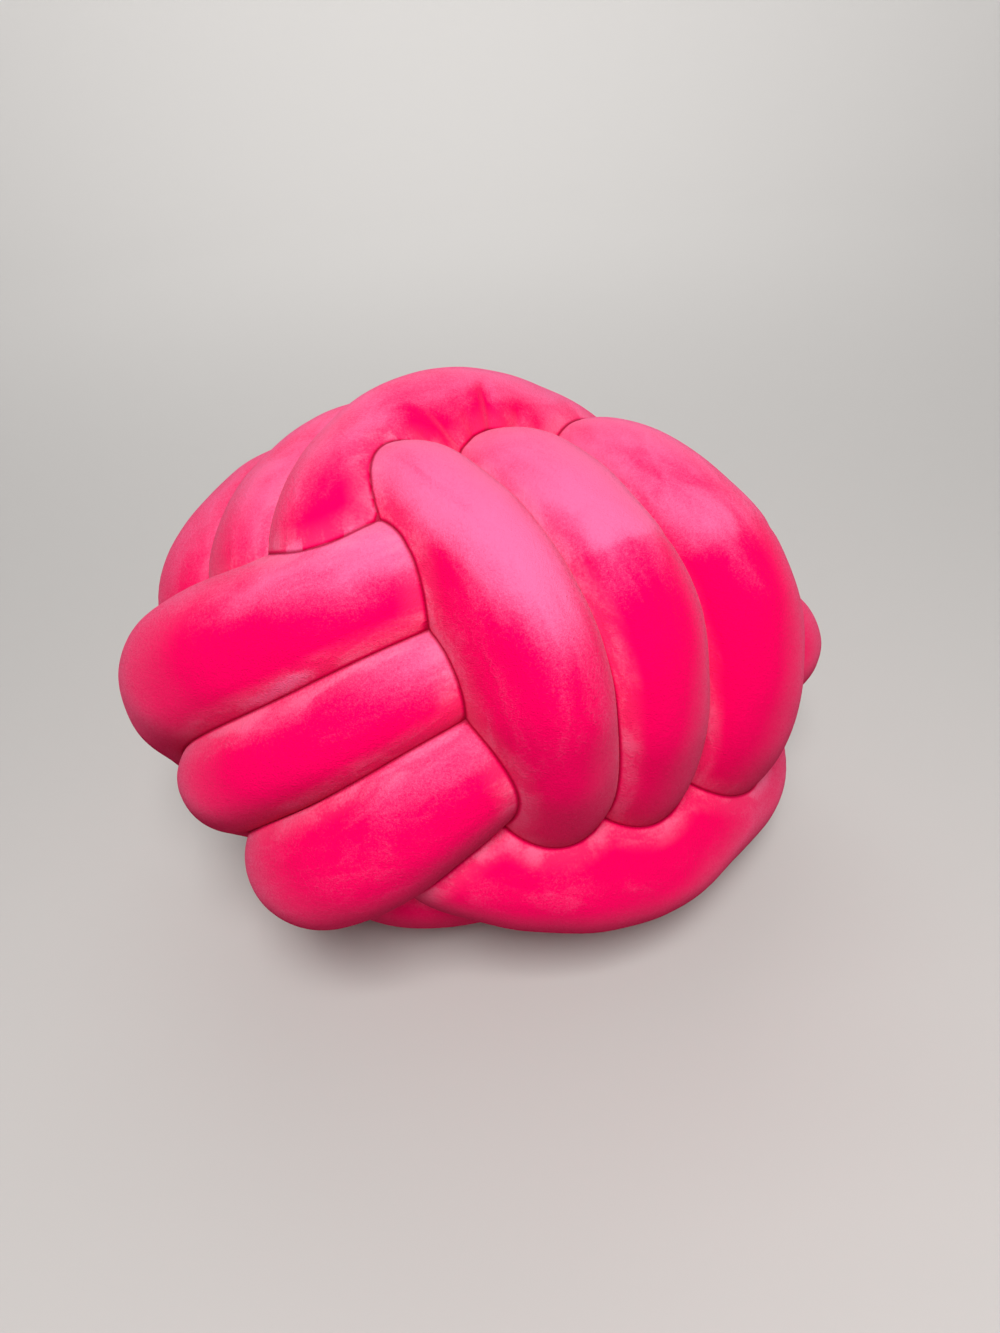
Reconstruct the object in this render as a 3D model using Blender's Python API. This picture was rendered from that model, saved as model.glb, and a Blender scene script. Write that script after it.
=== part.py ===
"""Knot cushion: a long stuffed plush tube tied as a ball knot of three bands, three turns each.

Every band lies over two opposite sides of the ball and dives beneath another band at the other two.
The ball has its own axes a, b and c, one through the middle of each pair of sides; the tables give
millimetres in those axes. The finished solid is in metres with +Z up and stands on z = 0.
"""
import math

import bmesh
import bpy
import numpy as np
from mathutils import Matrix

MM = 0.001
A, B, C = 0, 1, 2

# How the ball lies: turned about its own b axis, then about X, then about Z, in degrees.
LEAN_ABOUT_B = -35.0
TIP_ABOUT_X = -8.5
TURN_ABOUT_Z = -50.0

# The stuffed tube, half its thickness toward and away from the middle of the ball.
TUBE_HALF_THICKNESS = 32.0
TUBE_SIDES = 36
TUBE_RINGS = 48
CURVE_STEPS_PER_RING = 40
END_HALF_WIDTH = 24.0

# Where the ends of each length lie inside the ball, and the stuffed middle they run into.
DIVE_HEIGHT = (38.0, 38.0, 34.0)
DIVE_REACH_SHARE = 0.8
MIDDLE_HALF_SIZE = (86.0, 88.0, 78.0)
MIDDLE_SIDES = 24

# The one skin around them: the spacing of its points, how much its creases are rounded, its triangles.
SKIN_STEP = 2.5
SOFTENING_SHARE = 0.5
SOFTENING_ROUNDS = 2
SKIN_TRIANGLES = 11000

# The flat spot it rests on is this deep into the round ball.
REST_DEPTH = 9.0

PLUSH_COLOUR = (0.91, 0.03, 0.20, 1.0)
PLUSH_ROUGHNESS = 0.9

# One row for each length of tube that shows. Lane is its place among the three on that side. Crown
# is the height of its middle line above the ball's centre, and the drops are how much lower it is at
# its low and high end. Low and high are how far it reaches along its own direction. The three across
# columns are its offset to the side at the low end, middle and high end, and the three wide columns
# its half width there.
COLUMNS = (
    "side", "lane", "drop_low", "crown", "drop_high", "low", "high",
    "across_low", "across", "across_high", "wide_low", "wide", "wide_high",
)
LENGTHS = (
    ("+a", -1, 46, 116, 48, -45, 66, -34, -54, -47, 28, 24, 26),
    ("+a", 0, 48, 119, 49, -57, 62, 3, -8, 3, 28, 29, 29),
    ("+a", 1, 42, 118, 50, -66, 57, 57, 52, 57, 34, 32, 29),
    ("-a", -1, 38, 103, 30, -60, 74, -54, -62, -52, 30, 31, 31),
    ("-a", 0, 34, 98, 28, -60, 74, -4, -6, -2, 28, 31, 30),
    ("-a", 1, 32, 92, 28, -60, 74, 44, 50, 46, 30, 31, 30),
    ("-b", 1, 50, 118, 49, -74, 76, 8, 41, 43, 33, 32, 28),
    ("-b", 0, 54, 116, 46, -47, 76, -27, -1, 9, 29, 25, 25),
    ("-b", -1, 52, 107, 41, -25, 75, -62, -43, -27, 30, 30, 27),
    ("+b", 1, 52, 127, 48, -74, 74, 36, 42, 36, 26, 26, 26),
    ("+b", 0, 54, 131, 34, -74, 76, -2, 4, -2, 26, 27, 26),
    ("+b", -1, 52, 131, 18, -70, 79, -36, -36, -40, 26, 27, 28),
    ("+c", 1, 43, 98, 42, -74, 76, 66, 48, 42, 28, 29, 29),
    ("+c", 0, 42, 105, 42, -75, 76, 14, -4, -4, 34, 31, 29),
    ("+c", -1, 42, 109, 42, -75, 76, -50, -63, -54, 40, 35, 30),
    ("-c", 1, 48, 96, 8, -66, 98, 46, 67, 50, 28, 31, 29),
    ("-c", 0, 30, 86, 30, -72, 80, 2, 4, 2, 28, 28, 28),
    ("-c", -1, 22, 72, 24, -70, 72, -44, -46, -42, 30, 29, 28),
)
# On each pair of sides: the axis the lengths run along and the axis their lanes are counted on.
RUNS = {A: (C, B), B: (A, C), C: (B, A)}
SHARES = (-1.0, -0.55, 0.0, 0.55, 1.0)
CROWN_ROUNDNESS = 2.2


def middle_line(row, over, sign, along, across):
    """Control points of the middle line of one length, dive points at both ends, and half widths."""
    points = []
    widths = []
    for share in (-1.0,) + SHARES + (1.0,):
        end = "high" if share > 0 else "low"
        t = abs(share)
        middle = 0.5 * (row["low"] + row["high"])
        point = np.zeros(3)
        point[over] = sign * (row["crown"] - row["drop_" + end] * t**CROWN_ROUNDNESS)
        point[along] = middle + (row[end] - middle) * t
        point[across] = row["across"] + (row["across_" + end] - row["across"]) * t * t
        points.append(point)
        widths.append(row["wide"] + (row["wide_" + end] - row["wide"]) * t * t)
    for place in (0, -1):
        points[place][over] = sign * DIVE_HEIGHT[over]
        points[place][along] *= DIVE_REACH_SHARE
        widths[place] = END_HALF_WIDTH
    return np.array(points), np.array(widths)


def smooth_line(points, widths, rings):
    """A cubic spline through the control points, evenly spaced, with the half width at each ring."""
    count = len(points)
    span = np.sqrt(np.linalg.norm(np.diff(points, axis=0), axis=1))
    knots = np.concatenate([[0.0], np.cumsum(span)])
    values = np.column_stack([points, widths])
    slope = np.diff(values, axis=0) / span[:, None]
    system = np.eye(count)
    known = np.zeros((count, 4))
    for i in range(1, count - 1):
        system[i, i - 1:i + 2] = span[i - 1], 2 * (span[i - 1] + span[i]), span[i]
        known[i] = 6 * (slope[i] - slope[i - 1])
    bend = np.linalg.solve(system, known)
    fine = np.linspace(0.0, knots[-1], CURVE_STEPS_PER_RING * rings)
    i = np.clip(np.searchsorted(knots, fine, side="right") - 1, 0, count - 2)
    wide = span[i][:, None]
    gone = (fine - knots[i])[:, None]
    left = wide - gone
    curve = (bend[i] * left**3 + bend[i + 1] * gone**3) / (6 * wide)
    curve += (values[i] / wide - bend[i] * wide / 6) * left
    curve += (values[i + 1] / wide - bend[i + 1] * wide / 6) * gone
    run = np.concatenate([[0.0], np.cumsum(np.linalg.norm(np.diff(curve[:, :3], axis=0), axis=1))])
    even = np.linspace(0.0, run[-1], rings)
    return np.stack([np.interp(even, run, curve[:, k]) for k in range(4)], axis=1)


def unit(vectors):
    return vectors / np.linalg.norm(vectors, axis=-1, keepdims=True)


def tube_of(row):
    """Points and faces of one length of tube, closed at both ends, in millimetres in ball axes."""
    sign = 1 if row["side"][0] == "+" else -1
    over = "abc".index(row["side"][1])
    along, across = RUNS[over]
    points, widths = middle_line(row, over, sign, along, across)
    line = smooth_line(points, widths, TUBE_RINGS)
    centre, half_width = line[:, :3], line[:, 3]
    ahead = unit(np.gradient(centre, axis=0))
    sideways = np.zeros_like(centre)
    sideways[:, across] = 1.0
    sideways = unit(sideways - (sideways * ahead).sum(1, keepdims=True) * ahead)
    outward = np.cross(ahead, sideways)
    turn = 2 * np.pi * np.arange(TUBE_SIDES) / TUBE_SIDES
    ring = (
        centre[:, None]
        + sideways[:, None] * (half_width[:, None, None] * np.cos(turn)[:, None])
        + outward[:, None] * (TUBE_HALF_THICKNESS * np.sin(turn)[:, None])
    )
    vertices = ring.reshape(-1, 3)
    i, j = np.meshgrid(np.arange(TUBE_RINGS - 1), np.arange(TUBE_SIDES), indexing="ij")
    next_j = (j + 1) % TUBE_SIDES
    quads = np.stack(
        [i * TUBE_SIDES + j, i * TUBE_SIDES + next_j, (i + 1) * TUBE_SIDES + next_j, (i + 1) * TUBE_SIDES + j],
        axis=-1,
    ).reshape(-1, 4)
    faces = [tuple(quad) for quad in quads.tolist()]
    faces.append(tuple(range(TUBE_SIDES))[::-1])
    faces.append(tuple(range((TUBE_RINGS - 1) * TUBE_SIDES, TUBE_RINGS * TUBE_SIDES)))
    return vertices, faces


def mesh_object(name, vertices, faces):
    """A mesh object of the given points and faces, its faces turned outward."""
    mesh = bpy.data.meshes.new(name)
    shape = bmesh.new()
    corners = [shape.verts.new(vertex) for vertex in vertices]
    for face in faces:
        shape.faces.new([corners[index] for index in face])
    bmesh.ops.recalc_face_normals(shape, faces=shape.faces)
    shape.to_mesh(mesh)
    shape.free()
    piece = bpy.data.objects.new(name, mesh)
    bpy.context.scene.collection.objects.link(piece)
    return piece


def middle_object():
    """The stuffed middle, into which the ends of all the lengths run."""
    shape = bmesh.new()
    bmesh.ops.create_uvsphere(shape, u_segments=2 * MIDDLE_SIDES, v_segments=MIDDLE_SIDES, radius=1.0)
    size = Matrix.Diagonal((*MIDDLE_HALF_SIZE, 1.0))
    bmesh.ops.transform(shape, matrix=size, verts=shape.verts)
    mesh = bpy.data.meshes.new("middle")
    shape.to_mesh(mesh)
    shape.free()
    piece = bpy.data.objects.new("middle", mesh)
    bpy.context.scene.collection.objects.link(piece)
    return piece


def apply_modifiers(piece):
    graph = bpy.context.evaluated_depsgraph_get()
    mesh = bpy.data.meshes.new_from_object(piece.evaluated_get(graph))
    piece.modifiers.clear()
    piece.data = mesh


def combine(target, others, operation):
    """Joins the other objects to the target, or cuts them off it, and removes them."""
    for other in others:
        step = target.modifiers.new(operation.lower(), "BOOLEAN")
        step.operation = operation
        step.solver = "MANIFOLD"
        step.object = other
    apply_modifiers(target)
    for other in others:
        bpy.data.objects.remove(other)


def even_skin(ball):
    """Gives the joined lengths one even skin, its creases slightly rounded."""
    skin = ball.modifiers.new("skin", "REMESH")
    skin.mode = "VOXEL"
    skin.voxel_size = SKIN_STEP
    soften = ball.modifiers.new("soften", "SMOOTH")
    soften.factor = SOFTENING_SHARE
    soften.iterations = SOFTENING_ROUNDS
    apply_modifiers(ball)


def separate_skins(shape):
    """The points of a mesh in groups, one for each closed skin."""
    left = set(shape.verts)
    skins = []
    while left:
        front = [left.pop()]
        reached = set(front)
        while front:
            near = {edge.other_vert(vert) for vert in front for edge in vert.link_edges}
            front = list(near - reached)
            reached |= near
        left -= reached
        skins.append(reached)
    return skins


def keep_outer_skin(ball):
    """Removes the pockets enclosed between the lengths, so only the largest skin is left."""
    shape = bmesh.new()
    shape.from_mesh(ball.data)
    outer = max(separate_skins(shape), key=len)
    inner = [vert for vert in shape.verts if vert not in outer]
    bmesh.ops.delete(shape, geom=inner, context="VERTS")
    shape.to_mesh(ball.data)
    shape.free()


def thin_out(ball):
    """Merges small faces where the skin is nearly flat."""
    fewer = ball.modifiers.new("fewer", "DECIMATE")
    fewer.ratio = SKIN_TRIANGLES / (2 * len(ball.data.polygons))
    apply_modifiers(ball)


def corners_of(ball):
    """The lowest and highest corner of the box round the object."""
    points = np.array([vertex.co for vertex in ball.data.vertices])
    return points.min(axis=0), points.max(axis=0)


def ground_block(low, high):
    """A block well wider than the ball that reaches up into it by the depth of the flat spot."""
    span = high - low
    points = [
        (x, y, z)
        for z in (low[2] - span[2], low[2] + REST_DEPTH)
        for x, y in (
            (low[0] - span[0], low[1] - span[1]),
            (high[0] + span[0], low[1] - span[1]),
            (high[0] + span[0], high[1] + span[1]),
            (low[0] - span[0], high[1] + span[1]),
        )
    ]
    faces = [(0, 1, 2, 3), (4, 5, 6, 7), (0, 1, 5, 4), (1, 2, 6, 5), (2, 3, 7, 6), (3, 0, 4, 7)]
    return mesh_object("ground", points, faces)


def lay_down(ball):
    """Turns the ball as it lies, cuts the flat spot it rests on, centres it and scales it to metres."""
    lean = Matrix.Rotation(math.radians(LEAN_ABOUT_B), 4, "Y")
    tip = Matrix.Rotation(math.radians(TIP_ABOUT_X), 4, "X")
    turn = Matrix.Rotation(math.radians(TURN_ABOUT_Z), 4, "Z")
    ball.data.transform(turn @ tip @ lean)
    low, high = corners_of(ball)
    combine(ball, [ground_block(low, high)], "DIFFERENCE")
    middle = 0.5 * (low + high)
    centre = Matrix.Translation((-middle[0], -middle[1], -low[2] - REST_DEPTH))
    ball.data.transform(Matrix.Scale(MM, 4) @ centre)


def plush():
    material = bpy.data.materials.new("hot_pink_plush")
    material.use_nodes = True
    shader = material.node_tree.nodes["Principled BSDF"]
    shader.inputs["Base Color"].default_value = PLUSH_COLOUR
    shader.inputs["Roughness"].default_value = PLUSH_ROUGHNESS
    return material


def main():
    for old in list(bpy.data.objects):
        bpy.data.objects.remove(old)
    tubes = []
    for values in LENGTHS:
        row = dict(zip(COLUMNS, values))
        tubes.append(mesh_object("length", *tube_of(row)))
    cushion = middle_object()
    cushion.name = "knot_cushion"
    combine(cushion, tubes, "UNION")
    even_skin(cushion)
    keep_outer_skin(cushion)
    thin_out(cushion)
    lay_down(cushion)
    cushion.data.name = "knot_cushion"
    cushion.data.materials.append(plush())


main()
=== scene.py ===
"""Looks of the knot cushion: its stuffed plush lengths, their puckers and nap, floor, light and camera."""
import math

import bmesh
import bpy
import numpy as np
from mathutils import Matrix, Vector, noise
from mathutils.kdtree import KDTree


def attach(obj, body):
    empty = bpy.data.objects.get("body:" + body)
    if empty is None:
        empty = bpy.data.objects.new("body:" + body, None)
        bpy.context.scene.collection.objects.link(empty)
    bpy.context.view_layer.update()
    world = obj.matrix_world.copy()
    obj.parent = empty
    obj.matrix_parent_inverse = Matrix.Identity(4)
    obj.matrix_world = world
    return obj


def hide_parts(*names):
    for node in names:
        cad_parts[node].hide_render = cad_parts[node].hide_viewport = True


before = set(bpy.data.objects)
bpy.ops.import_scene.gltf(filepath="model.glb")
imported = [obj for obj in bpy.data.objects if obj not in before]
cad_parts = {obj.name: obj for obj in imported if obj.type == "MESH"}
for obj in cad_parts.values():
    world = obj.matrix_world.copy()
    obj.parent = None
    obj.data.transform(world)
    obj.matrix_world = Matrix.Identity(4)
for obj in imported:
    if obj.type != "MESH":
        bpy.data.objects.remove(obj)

CUSHION = "knot_cushion"
PIECE = "plush_knot"
MM = 0.001
A, B, C = 0, 1, 2

# How the ball lies: turned about its own b axis, then about X, then about Z, in degrees. Its flat spot
# is cut this deep into its lowest bulges, in millimetres.
LEAN_ABOUT_B = -35.0
TIP_ABOUT_X = -8.5
TURN_ABOUT_Z = -50.0
REST_DEPTH = 9.0

# The stuffed tube. Its section is a little fuller than an ellipse, so the lengths meet in tight creases.
# Its points stand closer together where it shows than where it runs into the ball. Lengths are in
# millimetres.
TUBE_HALF_THICKNESS = 32.0
SECTION_FULLNESS = 2.12
TUBE_SIDES = 84
SIDE_CLOSENESS = 0.62
TUBE_RINGS = 120
RING_CLOSENESS = 0.8
FINE_RINGS = 300
CURVE_STEPS_PER_RING = 10
END_HALF_WIDTH = 24.0

# Where the ends of each length lie inside the ball, and the stuffed middle they run into, in millimetres.
DIVE_HEIGHT = (38.0, 38.0, 34.0)
DIVE_REACH_SHARE = 0.8
MIDDLE_HALF_SIZE = (86.0, 88.0, 78.0)
MIDDLE_SIDES = 24

# One row for each length of tube that shows, in millimetres. Crown is the height of its middle line above
# the ball's centre, and the drops are how much lower it is at its low and high end. Low and high are how
# far it reaches along its own direction. The across columns are its offset to the side at the low end,
# middle and high end, and the wide columns its half width there.
COLUMNS = (
    "side", "lane", "drop_low", "crown", "drop_high", "low", "high",
    "across_low", "across", "across_high", "wide_low", "wide", "wide_high",
)
LENGTHS = (
    ("+a", -1, 46, 116, 48, -45, 66, -34, -54, -47, 28, 24, 26),
    ("+a", 0, 48, 119, 49, -57, 62, 3, -8, 3, 28, 29, 29),
    ("+a", 1, 42, 118, 50, -66, 57, 57, 52, 57, 34, 32, 29),
    ("-a", -1, 38, 103, 30, -60, 74, -54, -62, -52, 30, 31, 31),
    ("-a", 0, 34, 98, 28, -60, 74, -4, -6, -2, 28, 31, 30),
    ("-a", 1, 32, 92, 28, -60, 74, 44, 50, 46, 30, 31, 30),
    ("-b", 1, 50, 118, 49, -74, 76, 8, 41, 43, 33, 32, 28),
    ("-b", 0, 54, 116, 46, -47, 76, -27, -1, 9, 29, 25, 25),
    ("-b", -1, 52, 107, 41, -25, 75, -62, -43, -27, 30, 30, 27),
    ("+b", 1, 52, 127, 48, -74, 74, 36, 42, 36, 26, 26, 26),
    ("+b", 0, 54, 131, 34, -74, 76, -2, 4, -2, 26, 27, 26),
    ("+b", -1, 52, 131, 18, -70, 79, -36, -36, -40, 26, 27, 28),
    ("+c", 1, 43, 98, 42, -74, 76, 66, 48, 42, 28, 29, 29),
    ("+c", 0, 42, 105, 42, -75, 76, 14, -4, -4, 34, 31, 29),
    ("+c", -1, 42, 109, 42, -75, 76, -50, -63, -54, 40, 35, 30),
    ("-c", 1, 48, 96, 8, -66, 98, 46, 67, 50, 28, 31, 29),
    ("-c", 0, 30, 86, 30, -72, 80, 2, 4, 2, 28, 28, 28),
    ("-c", -1, 22, 72, 24, -70, 72, -44, -46, -42, 30, 29, 28),
)
# On each pair of sides: the axis the lengths run along and the axis their lanes are counted on.
RUNS = {A: (C, B), B: (A, C), C: (B, A)}
# Where the control points of a length stand, as shares of its reach, and how roundly its crown drops.
SHARES = (-1.0, -0.55, 0.0, 0.55, 1.0)
CROWN_ROUNDNESS = 2.2

# The stuffing is a little uneven: how far apart its lumps lie and how high they stand, in millimetres.
LUMP_SPACING = 26.0
LUMP_HEIGHT = 0.9

# Seams, puckers and the grooves beside one crease, in millimetres: where each begins and ends, ahead along
# its length of tube from the middle and round it from its crown, how deep it presses in, half how wide it
# is, and how much paler the nap lies ahead of it than behind it.
FOLD_COLUMNS = (
    "side", "lane", "ahead", "turn", "ahead_end", "turn_end", "depth", "half_width", "paler_ahead",
)
FOLDS = (
    ("+a", 0, 17, 38, 15, -38, 0.6, 1.9, 0.34),
    ("+a", 1, 15, 42, 13, -38, 0.6, 1.9, 0.22),
    ("+c", 1, 2, -66, 10, -32, 1.9, 3.2, 0.0),
    ("+c", 1, -8, -64, -6, -42, 1.1, 2.8, 0.0),
    ("+c", 1, -18, -64, -23, -36, 1.5, 3.2, 0.0),
    ("+c", 1, -30, -62, -38, -38, 1.2, 3.0, 0.0),
    ("+c", 1, -46, -58, -56, -36, 1.3, 3.2, 0.0),
    ("+c", 1, 16, -64, 24, -44, 1.1, 3.0, 0.0),
    ("+c", -1, 40, 30, 20, 46, 1.2, 2.6, 0.0),
    ("-b", 1, 96, 10, 84, 26, 1.4, 2.6, 0.0),
    ("-b", 0, 92, 12, 80, 20, 1.2, 2.2, 0.0),
    ("-b", -1, 86, -8, 72, -16, 1.2, 2.6, 0.0),
    ("+a", 1, 50, 22, 46, 10, 1.0, 3.0, 0.0),
    ("-b", 0, 8, -40, 46, -36, 3.2, 3.6, 0.0),
    ("-b", -1, 0, 28, 44, 32, 3.2, 3.6, 0.0),
)
# How far from a seam its step in the nap reaches and how blurred the step is, in millimetres, and the
# share of a fold's rise and fall that is cut off at each end.
FOLD_STEP_REACH = 24.0
FOLD_STEP_BLUR = 1.1
FOLD_END_SHARE = 0.04

# Where the nap lies brushed another way, in millimetres: the middle of each patch, half how long and wide
# it is, and how much paler it looks, below zero for deeper.
NAP_COLUMNS = ("side", "lane", "ahead", "turn", "half_length", "half_width", "paler")
NAP_PATCHES = (
    ("+c", 1, -20, 0, 160, 90, -0.20),
    ("+c", 1, -88, -34, 26, 30, -1.0),
    ("+c", 1, -26, -52, 40, 15, -0.45),
    ("+a", 0, -30, 0, 36, 60, -0.90),
    ("+a", 1, -34, 0, 44, 60, -0.34),
    ("+a", -1, 10, 0, 32, 60, 0.38),
    ("+a", 1, 30, 10, 30, 60, -0.20),
    ("-b", 1, 30, 0, 90, 80, -0.46),
    ("-b", 0, 30, 0, 70, 80, -0.22),
    ("+c", 1, -50, -33, 8, 6, -0.34),
    ("+c", 1, -32, -33, 9, 7, -0.30),
    ("+c", 1, -30, -44, 6, 11, -0.40),
    ("+c", 1, 4, -46, 6, 14, -0.45),
    ("+a", 0, 29, 25, 9, 7, -0.34),
    ("+a", 0, 20, 27, 8, 9, -0.45),
    ("+a", -1, 28, 36, 11, 8, -0.30),
    ("+a", -1, -2, 26, 12, 10, -0.30),
    ("+a", 1, 47, 17, 8, 5, -0.30),
    ("-b", 1, 62, -18, 10, 5, 1.20),
    ("-b", 1, 49, -21, 10, 4, 1.10),
    ("-b", 0, 27, -26, 11, 5, 1.00),
    ("-b", 0, 48, -24, 10, 5, 0.60),
    ("-b", 1, 90, 10, 22, 24, 0.34),
    ("-b", 0, 86, 4, 18, 22, 0.20),
    ("-b", -1, 74, 6, 24, 26, 0.30),
    ("+c", 0, 0, 0, 200, 90, -0.22),
    ("+c", -1, 0, 0, 200, 90, -0.14),
)

# What the skin's corners and points carry for the plush: texture places, this many metres apart from one
# length to the next, how pale the nap lies, and how far the nearest crease is.
STRAND_MAP = "strand"
STRAND_APART = 1.7
NAP = "nap"
CREASE = "crease"
# Edges turned in by more than the crease angle are creases, felt this far away in millimetres. Edges turned
# by more than the sharp angle are shaded sharp. Angles are in degrees.
CREASE_ANGLE = 28.0
CREASE_REACH = 20.0
SHARP_ANGLE = 46.0

# Camera: it looks along +Y, tipped down and a little rolled. The ball's centre lies this far to the
# right of, below and ahead of it, in millimetres. Nothing nearer than the last number, in metres, is drawn.
CAMERA_TIP_DOWN = 36.6
CAMERA_ROLL = -4.9
BALL_FROM_CAMERA = (-18.4, 2.2, 460.0)
LENS_MM = 25.66
NEAREST_SHOWN = 0.01

# The floor, in metres: it is round, flat out to the cove's start, then curves up into a low rim.
COVE_START = 1.6
COVE_RADIUS = 1.2
COVE_STEPS = 16
RIM_TOP = 2.6
FLOOR_SIDES = 96
FLOOR_COLOUR = (0.54, 0.53, 0.52, 1.0)
FLOOR_ROUGHNESS = 0.8

# The lights, in metres and watts: where each stands, what it is aimed at, how wide it is and how strong.
# The even surround is dim.
AT_CUSHION = (0.0, 0.0, 0.12)
AT_BACKDROP = (0.0, COVE_START + COVE_RADIUS, 0.6)
LIGHT_COLUMNS = ("name", "place", "aim", "size", "power", "colour")
LIGHTS = (
    ("soft_key", (0.02, -0.72, 1.08), AT_CUSHION, 0.40, 15.5, (1.0, 0.98, 0.96)),
    ("soft_fill", (0.9, -0.9, 0.7), AT_CUSHION, 0.9, 1.2, (1.0, 0.98, 0.97)),
    ("soft_back", (0.0, 1.3, 2.0), AT_BACKDROP, 1.6, 46.0, (1.0, 0.99, 0.98)),
)
SURROUND_COLOUR = (0.95, 0.95, 0.96, 1.0)
SURROUND_STRENGTH = 0.18

# Colours of the plush, linear: the nap brushed flat; a paler pink for nap brushed up, which also carries
# painted light on faces that turn up and high on the ball; painted sheen, on the lips of the creases and on
# faces seen at a slant; painted shade on faces that turn down; and painted shade in a crease.
NAP_DEEP = (0.92, 0.0005, 0.105, 1.0)
NAP_PALE_AND_TOP_LIT = (0.93, 0.140, 0.33, 1.0)
PAINTED_SHEEN_COLOUR = (0.93, 0.20, 0.36, 1.0)
PAINTED_DOWN_FACING_SHADE = (0.42, 0.0005, 0.045, 1.0)
PAINTED_CREASE_SHADE = (0.30, 0.001, 0.022, 1.0)
# Soft random patterns in the nap: spots to the metre, detail, roughness and distortion. The first two
# follow the tube, and the last row is the scale that draws them out along it.
PATCHES = (24.0, 2.0, 0.5, 0.6)
SMUDGES = (75.0, 3.0, 0.55, 0.7)
TUFTS = (900.0, 3.0, 0.65, 0.0)
GRAIN = (2300.0, 1.0, 0.5, 0.0)
ALONG_TUBE = (0.75, 1.0, 1.0)

# How much each of them, and the brushing stored on the skin, moves the lie of the nap. The painted sheen on
# the lips is made patchy by the smudges with this last share of the tufts.
BRUSHING_SHARE = 1.0
PATCHES_SHARE = 1.1
SMUDGES_SHARE = 0.95
TUFTS_SHARE = 0.62
GRAIN_SHARE = 0.60
LIP_SHEEN_TUFTS_SHARE = 0.35

# Smooth ramps: a value going from the first number to the second gives the third, then the fourth.
# Painted light makes the plush paler on faces that turn up and high on the ball (metres), and painted shade
# makes it darker on faces that turn down. Near a crease, in shares of its reach, come a line of painted
# shade, then a lip with patchy painted sheen. Faces seen at a slant get painted sheen, less where the fluff
# is thin and right at a crease.
TOP_LIGHT_FACING_UP = (0.30, 0.90, 0.0, 1.0)
TOP_LIGHT_HEIGHT = (0.10, 0.25, 0.0, 1.0)
NAP_AND_TOP_LIGHT_RAMP = (0.02, 1.22, 0.0, 1.0)
DOWN_FACING_SHADE_RAMP = (-0.45, 0.20, 0.85, 0.0)
CREASE_SHADE_RAMP = (0.0, 0.075, 0.85, 0.0)
LIP_SHEEN_BEGINS = (0.03, 0.10, 0.0, 1.0)
LIP_SHEEN_ENDS = (0.10, 0.60, 1.0, 0.0)
LIP_SHEEN_PATCHINESS = (-0.10, 0.20, 0.10, 0.55)
SLANT_BLEND = 0.40
SLANT_SHEEN = (0.28, 0.85, 0.0, 0.60)
SLANT_SHEEN_FLUFF = (-0.22, 0.22, 0.45, 1.0)
SLANT_SHEEN_OFF_CREASE = (0.02, 0.16, 0.0, 1.0)

# Relief of the fuzz and of the small dents, in metres, and the faint sheen.
FUZZ = {"Strength": 0.7, "Distance": 0.0007}
DENTS = {"Strength": 0.22, "Distance": 0.0025}
SHEEN = {"Sheen_Weight": 0.05, "Sheen_Roughness": 0.4, "Sheen_Tint": (1.0, 0.40, 0.60, 1.0)}


def unit(vectors):
    return vectors / np.linalg.norm(vectors, axis=-1, keepdims=True)


def middle_line(row, over, sign, along, across):
    """Control points of the middle line of one length, dive points at both ends, and half widths."""
    points = []
    widths = []
    for share in (-1.0,) + SHARES + (1.0,):
        end = "high" if share > 0 else "low"
        t = abs(share)
        middle = 0.5 * (row["low"] + row["high"])
        point = np.zeros(3)
        point[over] = sign * (row["crown"] - row["drop_" + end] * t**CROWN_ROUNDNESS)
        point[along] = middle + (row[end] - middle) * t
        point[across] = row["across"] + (row["across_" + end] - row["across"]) * t * t
        points.append(point)
        widths.append(row["wide"] + (row["wide_" + end] - row["wide"]) * t * t)
    for place in (0, -1):
        points[place][over] = sign * DIVE_HEIGHT[over]
        points[place][along] *= DIVE_REACH_SHARE
        widths[place] = END_HALF_WIDTH
    return np.array(points), np.array(widths)


def smooth_line(points, widths, rings):
    """A cubic spline through the control points, evenly spaced, with the half width at each ring."""
    count = len(points)
    span = np.sqrt(np.linalg.norm(np.diff(points, axis=0), axis=1))
    knots = np.concatenate([[0.0], np.cumsum(span)])
    values = np.column_stack([points, widths])
    slope = np.diff(values, axis=0) / span[:, None]
    system = np.eye(count)
    known = np.zeros((count, 4))
    for i in range(1, count - 1):
        system[i, i - 1:i + 2] = span[i - 1], 2 * (span[i - 1] + span[i]), span[i]
        known[i] = 6 * (slope[i] - slope[i - 1])
    bend = np.linalg.solve(system, known)
    fine = np.linspace(0.0, knots[-1], CURVE_STEPS_PER_RING * rings)
    i = np.clip(np.searchsorted(knots, fine, side="right") - 1, 0, count - 2)
    wide = span[i][:, None]
    gone = (fine - knots[i])[:, None]
    left = wide - gone
    curve = (bend[i] * left**3 + bend[i + 1] * gone**3) / (6 * wide)
    curve += (values[i] / wide - bend[i] * wide / 6) * left
    curve += (values[i + 1] / wide - bend[i + 1] * wide / 6) * gone
    run = np.concatenate([[0.0], np.cumsum(np.linalg.norm(np.diff(curve[:, :3], axis=0), axis=1))])
    even = np.linspace(0.0, run[-1], rings)
    return np.stack([np.interp(even, run, curve[:, k]) for k in range(4)], axis=1), even


def spread(shares, closeness):
    """Shares from -1 to 1, drawn together round 0, where more points are wanted."""
    return shares * (closeness + (1 - closeness) * shares**2)


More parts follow.
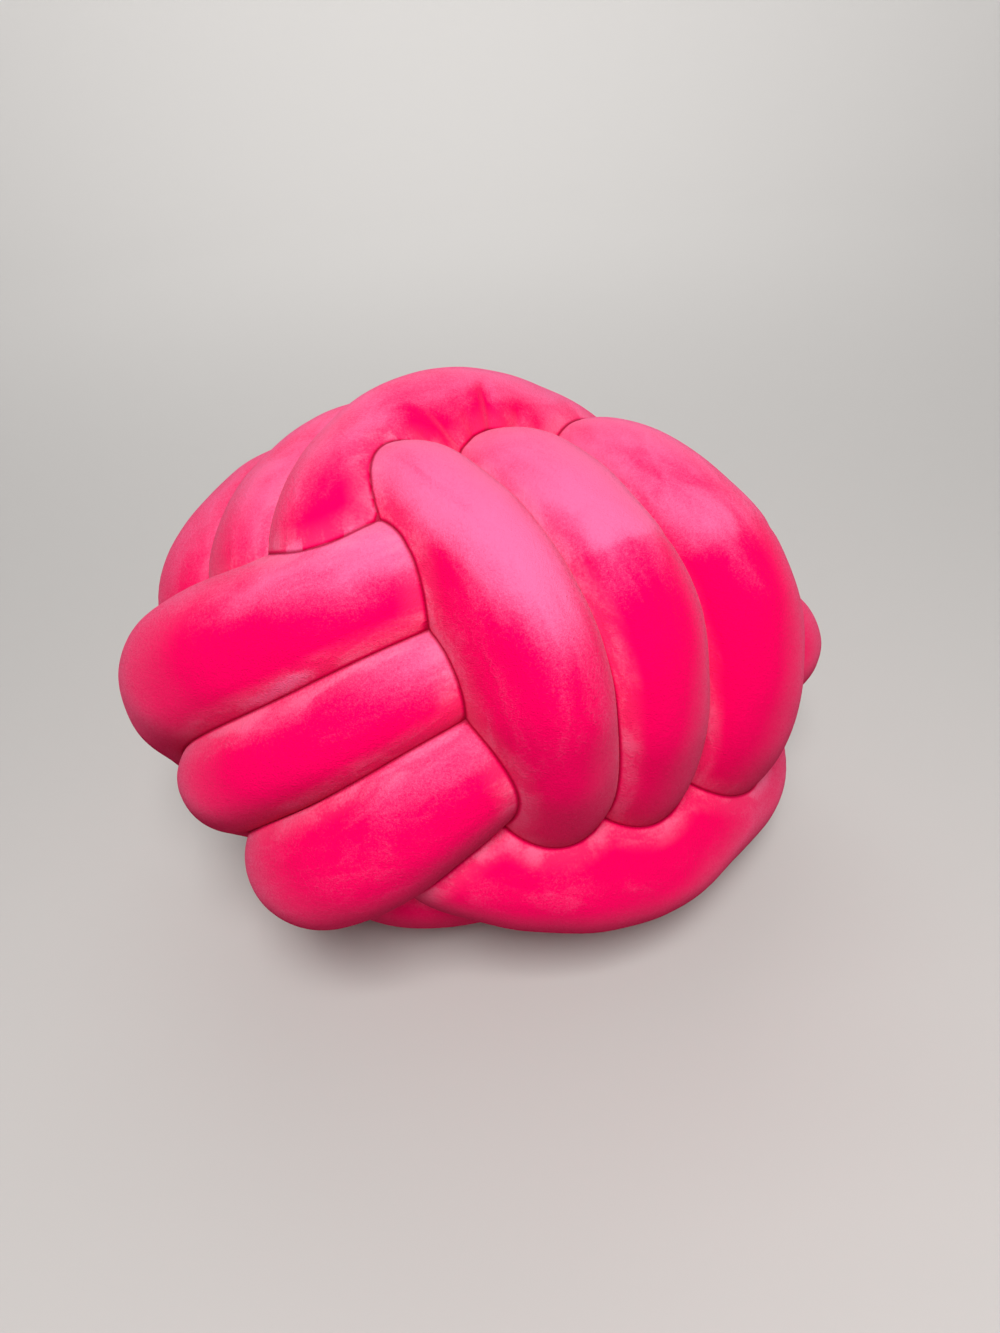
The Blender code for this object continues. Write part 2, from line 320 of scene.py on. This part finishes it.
def tube_of(row):
    """One length of tube in ball axes: its points, its faces, how far along and around it their corners
    lie, and how much paler the nap looks at each point."""
    sign = 1 if row["side"][0] == "+" else -1
    over = "abc".index(row["side"][1])
    along, across = RUNS[over]
    points, widths = middle_line(row, over, sign, along, across)
    line, run = smooth_line(points, widths, FINE_RINGS)
    ring_place = 0.5 * run[-1] * (1 + spread(np.linspace(-1, 1, TUBE_RINGS), RING_CLOSENESS))
    line = np.stack([np.interp(ring_place, run, line[:, k]) for k in range(4)], axis=1)
    centre, half_width = line[:, :3], line[:, 3]
    ahead = unit(np.gradient(centre, axis=0))
    sideways = np.zeros_like(centre)
    sideways[:, across] = 1.0
    sideways = unit(sideways - (sideways * ahead).sum(1, keepdims=True) * ahead)
    outward = np.cross(ahead, sideways)
    if (outward[TUBE_RINGS // 2][over] > 0) != (sign > 0):
        outward = -outward
        sideways = -sideways
    turn = math.pi * spread(np.linspace(-1, 1, TUBE_SIDES + 1), SIDE_CLOSENESS)
    power = 2 / SECTION_FULLNESS
    side_part = np.sign(np.sin(turn)) * np.abs(np.sin(turn)) ** power
    out_part = np.sign(np.cos(turn)) * np.abs(np.cos(turn)) ** power
    ring = sideways[:, None] * (half_width[:, None, None] * side_part[:, None])
    ring = ring + outward[:, None] * (TUBE_HALF_THICKNESS * out_part[:, None])
    around = np.tile(turn * TUBE_HALF_THICKNESS, (TUBE_RINGS, 1))
    ahead_by = np.tile((ring_place - 0.5 * run[-1])[:, None], (1, TUBE_SIDES + 1))
    folds, nap = folds_at(row, ahead_by, around)
    nap += patches_at(row, ahead_by, around)
    ring = ring * (1 + (lumps_at(ring + centre[:, None]) - folds) / TUBE_HALF_THICKNESS)[..., None]
    ring = ring + centre[:, None]
    i, j = np.meshgrid(np.arange(TUBE_RINGS - 1), np.arange(TUBE_SIDES), indexing="ij")
    next_j = (j + 1) % TUBE_SIDES
    corners = ((i, j, j), (i, next_j, j + 1), (i + 1, next_j, j + 1), (i + 1, j, j))
    faces = np.stack([a * TUBE_SIDES + b for a, b, _ in corners], axis=-1).reshape(-1, 4)
    places = np.stack(
        [np.stack([ahead_by[a, b], around[a, b]], axis=-1) for a, _, b in corners], axis=-2
    ).reshape(-1, 2)
    first = np.arange(TUBE_SIDES)
    ends = [first[::-1].tolist(), (first + (TUBE_RINGS - 1) * TUBE_SIDES).tolist()]
    return ring[:, :-1].reshape(-1, 3), faces.tolist() + ends, places, nap[:, :-1].ravel()


def rows_on(row, columns, table):
    """The rows of a table that belong to one length of tube."""
    for values in table:
        entry = dict(zip(columns, values))
        if (entry["side"], entry["lane"]) == (row["side"], row["lane"]):
            yield entry


def folds_at(row, ahead_by, around):
    """How deep seams and puckers press in at each point of a length, and how they turn the nap."""
    depth = np.zeros_like(around)
    nap = np.zeros_like(around)
    for fold in rows_on(row, FOLD_COLUMNS, FOLDS):
        start = np.array([fold["ahead"], fold["turn"]], dtype=float)
        line = np.array([fold["ahead_end"], fold["turn_end"]]) - start
        place = np.stack([ahead_by, around], axis=-1) - start
        share = np.clip((place @ line) / (line @ line), 0, 1)
        off = place - share[..., None] * line
        away = np.linalg.norm(off, axis=-1)
        fade = np.sin(math.pi * (FOLD_END_SHARE + (1 - 2 * FOLD_END_SHARE) * share))
        depth += fold["depth"] * fade * np.exp(-(away / fold["half_width"]) ** 2)
        step = np.tanh(off[..., 0] / FOLD_STEP_BLUR) * np.exp(-(away / FOLD_STEP_REACH) ** 2)
        nap += fold["paler_ahead"] * step
    return depth, nap


def patches_at(row, ahead_by, around):
    """How much paler the nap looks at each point of a length, in its brushed patches."""
    nap = np.zeros_like(around)
    for patch in rows_on(row, NAP_COLUMNS, NAP_PATCHES):
        forward = (ahead_by - patch["ahead"]) / patch["half_length"]
        aside = (around - patch["turn"]) / patch["half_width"]
        nap += patch["paler"] * np.exp(-(forward**2) - aside**2)
    return nap


def lumps_at(points):
    """How far the uneven stuffing pushes out each point, in millimetres."""
    spots = (points / LUMP_SPACING).reshape(-1, 3)
    heights = [LUMP_HEIGHT * noise.noise(spot) for spot in spots.tolist()]
    return np.array(heights).reshape(points.shape[:-1])


def add_object(name, data):
    piece = bpy.data.objects.new(name, data)
    bpy.context.scene.collection.objects.link(piece)
    return piece


def tube_object(index, points, faces, places, nap):
    """A closed length of tube. Its texture places are metres along and around, apart for each length."""
    mesh = bpy.data.meshes.new("length")
    mesh.from_pydata(points.tolist(), [], faces)
    shape = bmesh.new()
    shape.from_mesh(mesh)
    inside_out = shape.calc_volume(signed=True) < 0
    shape.free()
    if inside_out:
        mesh.flip_normals()
    layer = mesh.uv_layers.new(name=STRAND_MAP)
    spots = np.zeros((len(mesh.loops), 2))
    if inside_out:
        order = np.array([0, 3, 2, 1])
        places = places.reshape(-1, 4, 2)[:, order].reshape(-1, 2)
    spots[:len(places)] = places * MM + (index + 1) * STRAND_APART
    layer.data.foreach_set("uv", spots.astype(np.float32).ravel())
    mesh.attributes.new(NAP, "FLOAT", "POINT").data.foreach_set("value", nap.astype(np.float32))
    return add_object("length", mesh)


def mesh_object(name, vertices, faces):
    """A mesh object of the given points and faces, its faces turned outward."""
    mesh = bpy.data.meshes.new(name)
    shape = bmesh.new()
    corners = [shape.verts.new(vertex) for vertex in vertices]
    for face in faces:
        shape.faces.new([corners[index] for index in face])
    bmesh.ops.recalc_face_normals(shape, faces=shape.faces)
    shape.to_mesh(mesh)
    shape.free()
    return add_object(name, mesh)


def middle_object():
    """The stuffed middle, into which the ends of all the lengths run."""
    shape = bmesh.new()
    bmesh.ops.create_uvsphere(shape, u_segments=2 * MIDDLE_SIDES, v_segments=MIDDLE_SIDES, radius=1.0)
    size = Matrix.Diagonal((*MIDDLE_HALF_SIZE, 1.0))
    bmesh.ops.transform(shape, matrix=size, verts=shape.verts)
    mesh = bpy.data.meshes.new("middle")
    shape.to_mesh(mesh)
    shape.free()
    return add_object("middle", mesh)


def apply_modifiers(piece):
    graph = bpy.context.evaluated_depsgraph_get()
    mesh = bpy.data.meshes.new_from_object(piece.evaluated_get(graph))
    piece.modifiers.clear()
    piece.data = mesh


def combine(target, others, operation):
    """Joins the other objects to the target, or cuts them off it, and removes them."""
    for other in others:
        step = target.modifiers.new(operation.lower(), "BOOLEAN")
        step.operation = operation
        step.solver = "MANIFOLD"
        step.object = other
    apply_modifiers(target)
    for other in others:
        bpy.data.objects.remove(other)


def separate_skins(shape):
    """The points of a mesh in groups, one for each closed skin."""
    left = set(shape.verts)
    skins = []
    while left:
        front = [left.pop()]
        reached = set(front)
        while front:
            near = {edge.other_vert(vert) for vert in front for edge in vert.link_edges}
            front = list(near - reached)
            reached |= near
        left -= reached
        skins.append(reached)
    return skins


def keep_outer_skin(ball):
    """Removes the pockets enclosed between the lengths, so only the largest skin is left."""
    shape = bmesh.new()
    shape.from_mesh(ball.data)
    outer = max(separate_skins(shape), key=len)
    inner = [vert for vert in shape.verts if vert not in outer]
    bmesh.ops.delete(shape, geom=inner, context="VERTS")
    shape.to_mesh(ball.data)
    shape.free()


def ground_block(low, high):
    """A block well wider than the ball that reaches up into it by the depth of the flat spot."""
    span = high - low
    points = [
        (x, y, z)
        for z in (low[2] - span[2], low[2] + REST_DEPTH)
        for x, y in (
            (low[0] - span[0], low[1] - span[1]),
            (high[0] + span[0], low[1] - span[1]),
            (high[0] + span[0], high[1] + span[1]),
            (low[0] - span[0], high[1] + span[1]),
        )
    ]
    faces = [(0, 1, 2, 3), (4, 5, 6, 7), (0, 1, 5, 4), (1, 2, 6, 5), (2, 3, 7, 6), (3, 0, 4, 7)]
    return mesh_object("ground", points, faces)


def lay_down(ball):
    """Turns the ball as it lies, cuts its flat spot, scales it to metres and returns its centre."""
    lean = Matrix.Rotation(math.radians(LEAN_ABOUT_B), 4, "Y")
    tip = Matrix.Rotation(math.radians(TIP_ABOUT_X), 4, "X")
    turn = Matrix.Rotation(math.radians(TURN_ABOUT_Z), 4, "Z")
    ball.data.transform(turn @ tip @ lean)
    points = np.array([vertex.co for vertex in ball.data.vertices])
    low, high = points.min(axis=0), points.max(axis=0)
    combine(ball, [ground_block(low, high)], "DIFFERENCE")
    middle = 0.5 * (low + high)
    centre = Vector((-middle[0], -middle[1], -low[2] - REST_DEPTH))
    ball.data.transform(Matrix.Scale(MM, 4) @ Matrix.Translation(centre))
    return centre * MM


def write_creases(ball):
    """Stores on each point of the skin how far it is from the nearest crease, as a share of the reach."""
    shape = bmesh.new()
    shape.from_mesh(ball.data)
    turned_in = [
        edge for edge in shape.edges
        if edge.is_manifold and edge.calc_face_angle_signed() < -math.radians(CREASE_ANGLE)
    ]
    tree = KDTree(2 * len(turned_in))
    for index, vert in enumerate(vert for edge in turned_in for vert in edge.verts):
        tree.insert(vert.co, index)
    tree.balance()
    shape.free()
    away = np.array([tree.find(vertex.co)[2] for vertex in ball.data.vertices])
    crease = ball.data.attributes.new(CREASE, "FLOAT", "POINT")
    crease.data.foreach_set("value", np.clip(away / CREASE_REACH, 0, 1).astype(np.float32))


def new_nodes(material):
    tree = material.node_tree
    tree.nodes.clear()

    def make(kind, **settings):
        node = tree.nodes.new(kind)
        for name, value in settings.items():
            setattr(node, name, value)
        return node

    return make, tree.links.new


def set_inputs(node, **values):
    for name, value in values.items():
        node.inputs[name.replace("_", " ")].default_value = value


def clouds(make, link, vector, scale, detail, roughness, distortion):
    """A soft random pattern round 0, of the given number of spots to the metre."""
    node = make("ShaderNodeTexNoise")
    set_inputs(node, Scale=scale, Detail=detail, Roughness=roughness, Distortion=distortion)
    link(vector, node.inputs["Vector"])
    return sums(make, link, "SUBTRACT", node.outputs["Fac"], 0.5)


def ramp(make, link, value, low, high, to_low, to_high):
    """The value, led smoothly from to_low at low to to_high at high."""
    node = make("ShaderNodeMapRange", interpolation_type="SMOOTHSTEP")
    set_inputs(node, From_Min=low, From_Max=high, To_Min=to_low, To_Max=to_high)
    link(value, node.inputs["Value"])
    return node.outputs["Result"]


def sums(make, link, operation, first, second):
    """The two values added, subtracted or multiplied. Either can be a bare number."""
    node = make("ShaderNodeMath", operation=operation)
    for place, value in enumerate((first, second)):
        if isinstance(value, float):
            node.inputs[place].default_value = value
        else:
            link(value, node.inputs[place])
    return node.outputs["Value"]


def mixed(make, link, share, under, over):
    """The colour under, covered by the colour over in the given share."""
    node = make("ShaderNodeMix", data_type="RGBA")
    link(share, node.inputs["Factor"])
    for name, colour in (("A", under), ("B", over)):
        socket = [entry for entry in node.inputs if entry.name == name and entry.type == "RGBA"][0]
        if isinstance(colour, tuple):
            socket.default_value = colour
        else:
            link(colour, socket)
    return [entry for entry in node.outputs if entry.type == "RGBA"][0]


def plush():
    """Short hot pink velvet plush, its nap brushed in soft patches with a fine grain. Painted light pales
    it on upward faces high on the ball, painted sheen pales it on the lips of the creases and on faces seen
    at a slant, and painted shade darkens faces that turn down and the creases."""
    material = bpy.data.materials.new("hot_pink_plush")
    material.use_nodes = True
    make, link = new_nodes(material)
    strand = make("ShaderNodeUVMap", uv_map=STRAND_MAP).outputs["UV"]
    where = make("ShaderNodeTexCoord").outputs["Object"]
    along = make("ShaderNodeMapping")
    set_inputs(along, Scale=ALONG_TUBE)
    link(strand, along.inputs["Vector"])
    along = along.outputs["Vector"]

    patches = clouds(make, link, along, *PATCHES)
    smudges = clouds(make, link, along, *SMUDGES)
    tufts = clouds(make, link, where, *TUFTS)
    grain = clouds(make, link, where, *GRAIN)

    up = make("ShaderNodeSeparateXYZ")
    link(make("ShaderNodeNewGeometry").outputs["Normal"], up.inputs["Vector"])
    high = make("ShaderNodeSeparateXYZ")
    link(where, high.inputs["Vector"])
    # Painted light: the plush is paler on faces that turn up and high on the ball.
    nap_and_top_light = sums(
        make, link, "MULTIPLY",
        ramp(make, link, up.outputs["Z"], *TOP_LIGHT_FACING_UP),
        ramp(make, link, high.outputs["Z"], *TOP_LIGHT_HEIGHT),
    )
    brushing = make("ShaderNodeAttribute", attribute_name=NAP).outputs["Fac"]
    parts = (
        (brushing, BRUSHING_SHARE),
        (patches, PATCHES_SHARE),
        (smudges, SMUDGES_SHARE),
        (tufts, TUFTS_SHARE),
        (grain, GRAIN_SHARE),
    )
    for part, share in parts:
        nap_and_top_light = sums(make, link, "ADD", nap_and_top_light, sums(make, link, "MULTIPLY", part, share))
    # The paler pink shows the brushed nap and the painted light from above.
    colour = mixed(make, link, ramp(make, link, nap_and_top_light, *NAP_AND_TOP_LIGHT_RAMP), NAP_DEEP, NAP_PALE_AND_TOP_LIT)

    away = make("ShaderNodeAttribute", attribute_name=CREASE).outputs["Fac"]
    # Painted sheen along the lips of the creases, made patchy.
    lip_sheen = sums(
        make, link, "MULTIPLY",
        ramp(make, link, away, *LIP_SHEEN_BEGINS),
        ramp(make, link, away, *LIP_SHEEN_ENDS),
    )
    lip_sheen_patchiness = sums(make, link, "ADD", smudges, sums(make, link, "MULTIPLY", tufts, LIP_SHEEN_TUFTS_SHARE))
    lip_sheen = sums(make, link, "MULTIPLY", lip_sheen, ramp(make, link, lip_sheen_patchiness, *LIP_SHEEN_PATCHINESS))
    colour = mixed(make, link, lip_sheen, colour, PAINTED_SHEEN_COLOUR)
    # Painted sheen on faces seen at a slant, less where the fluff is thin and right at a crease.
    slant = make("ShaderNodeLayerWeight")
    set_inputs(slant, Blend=SLANT_BLEND)
    slant_sheen = ramp(make, link, slant.outputs["Facing"], *SLANT_SHEEN)
    fluff = sums(make, link, "ADD", tufts, grain)
    slant_sheen = sums(make, link, "MULTIPLY", slant_sheen, ramp(make, link, fluff, *SLANT_SHEEN_FLUFF))
    slant_sheen = sums(make, link, "MULTIPLY", slant_sheen, ramp(make, link, away, *SLANT_SHEEN_OFF_CREASE))
    colour = mixed(make, link, slant_sheen, colour, PAINTED_SHEEN_COLOUR)
    # Painted shade on faces that turn down.
    colour = mixed(make, link, ramp(make, link, up.outputs["Z"], *DOWN_FACING_SHADE_RAMP), colour, PAINTED_DOWN_FACING_SHADE)
    # Painted shade in the creases.
    colour = mixed(make, link, ramp(make, link, away, *CREASE_SHADE_RAMP), colour, PAINTED_CREASE_SHADE)

    fuzz = make("ShaderNodeBump")
    set_inputs(fuzz, **FUZZ)
    link(fluff, fuzz.inputs["Height"])
    dents = make("ShaderNodeBump")
    set_inputs(dents, **DENTS)
    link(smudges, dents.inputs["Height"])
    link(fuzz.outputs["Normal"], dents.inputs["Normal"])

    shader = make("ShaderNodeBsdfPrincipled")
    set_inputs(shader, Roughness=1.0, Specular_IOR_Level=0.0, **SHEEN)
    link(colour, shader.inputs["Base Color"])
    link(dents.outputs["Normal"], shader.inputs["Normal"])
    link(shader.outputs["BSDF"], make("ShaderNodeOutputMaterial").inputs["Surface"])
    return material


def make_cushion():
    """The cushion in its final place, and the middle of its ball."""
    lengths = []
    for index, values in enumerate(LENGTHS):
        lengths.append(tube_object(index, *tube_of(dict(zip(COLUMNS, values)))))
    cushion = middle_object()
    cushion.name = PIECE
    cushion.data.uv_layers.new(name=STRAND_MAP)
    cushion.data.attributes.new(NAP, "FLOAT", "POINT")
    combine(cushion, lengths, "UNION")
    keep_outer_skin(cushion)
    write_creases(cushion)
    centre = lay_down(cushion)
    cushion.data.name = PIECE
    cushion.data.shade_smooth()
    cushion.data.set_sharp_from_angle(angle=math.radians(SHARP_ANGLE))
    cushion.data.materials.clear()
    cushion.data.materials.append(plush())
    return cushion, centre


def make_camera(ball_centre):
    tipped = Matrix.Rotation(math.radians(90.0 - CAMERA_TIP_DOWN), 3, "X")
    turned = tipped @ Matrix.Rotation(math.radians(CAMERA_ROLL), 3, "Z")
    right, up, back = turned.col[0], turned.col[1], turned.col[2]
    x, y, z = (value * MM for value in BALL_FROM_CAMERA)
    data = bpy.data.cameras.new("camera")
    data.lens = LENS_MM
    data.clip_start = NEAREST_SHOWN
    camera = add_object("camera", data)
    camera.location = ball_centre - right * x + up * y + back * z
    camera.rotation_euler = turned.to_euler()
    bpy.context.scene.camera = camera


def make_floor():
    """A round pale floor that rises all around in a wide curve, so no horizon shows from any side."""
    section = []
    for step in range(COVE_STEPS + 1):
        turn = 0.5 * math.pi * step / COVE_STEPS
        section.append((COVE_START + COVE_RADIUS * math.sin(turn), COVE_RADIUS * (1 - math.cos(turn))))
    section.append((COVE_START + COVE_RADIUS, RIM_TOP))
    points = []
    for radius, z in section:
        for side in range(FLOOR_SIDES):
            turn = 2 * math.pi * side / FLOOR_SIDES
            points.append((radius * math.cos(turn), radius * math.sin(turn), z))
    faces = [tuple(range(FLOOR_SIDES))]
    for ring in range(len(section) - 1):
        for side in range(FLOOR_SIDES):
            here = ring * FLOOR_SIDES + side
            beside = ring * FLOOR_SIDES + (side + 1) % FLOOR_SIDES
            faces.append((here, beside, beside + FLOOR_SIDES, here + FLOOR_SIDES))
    floor = mesh_object("floor", points, faces)
    floor.data.shade_smooth()
    material = bpy.data.materials.new("pale_floor")
    material.use_nodes = True
    shader = material.node_tree.nodes["Principled BSDF"]
    set_inputs(shader, Base_Color=FLOOR_COLOUR, Roughness=FLOOR_ROUGHNESS)
    floor.data.materials.append(material)


def make_light(name, place, aim, size, power, colour):
    data = bpy.data.lights.new(name, "AREA")
    data.size = size
    data.energy = power
    data.color = colour
    light = add_object(name, data)
    light.location = place
    light.rotation_euler = (Vector(aim) - Vector(place)).to_track_quat("-Z", "Y").to_euler()


def light_the_scene():
    """A soft light above and in front, a weak one from the right, one on the backdrop, a dim surround."""
    for values in LIGHTS:
        make_light(**dict(zip(LIGHT_COLUMNS, values)))
    world = bpy.data.worlds.new("surround")
    world.use_nodes = True
    set_inputs(world.node_tree.nodes["Background"], Color=SURROUND_COLOUR, Strength=SURROUND_STRENGTH)
    bpy.context.scene.world = world
    bpy.context.scene.view_settings.view_transform = "Standard"


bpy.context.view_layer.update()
cushion, ball_centre = make_cushion()
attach(cushion, "root")
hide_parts(CUSHION)
make_camera(ball_centre)
make_floor()
light_the_scene()
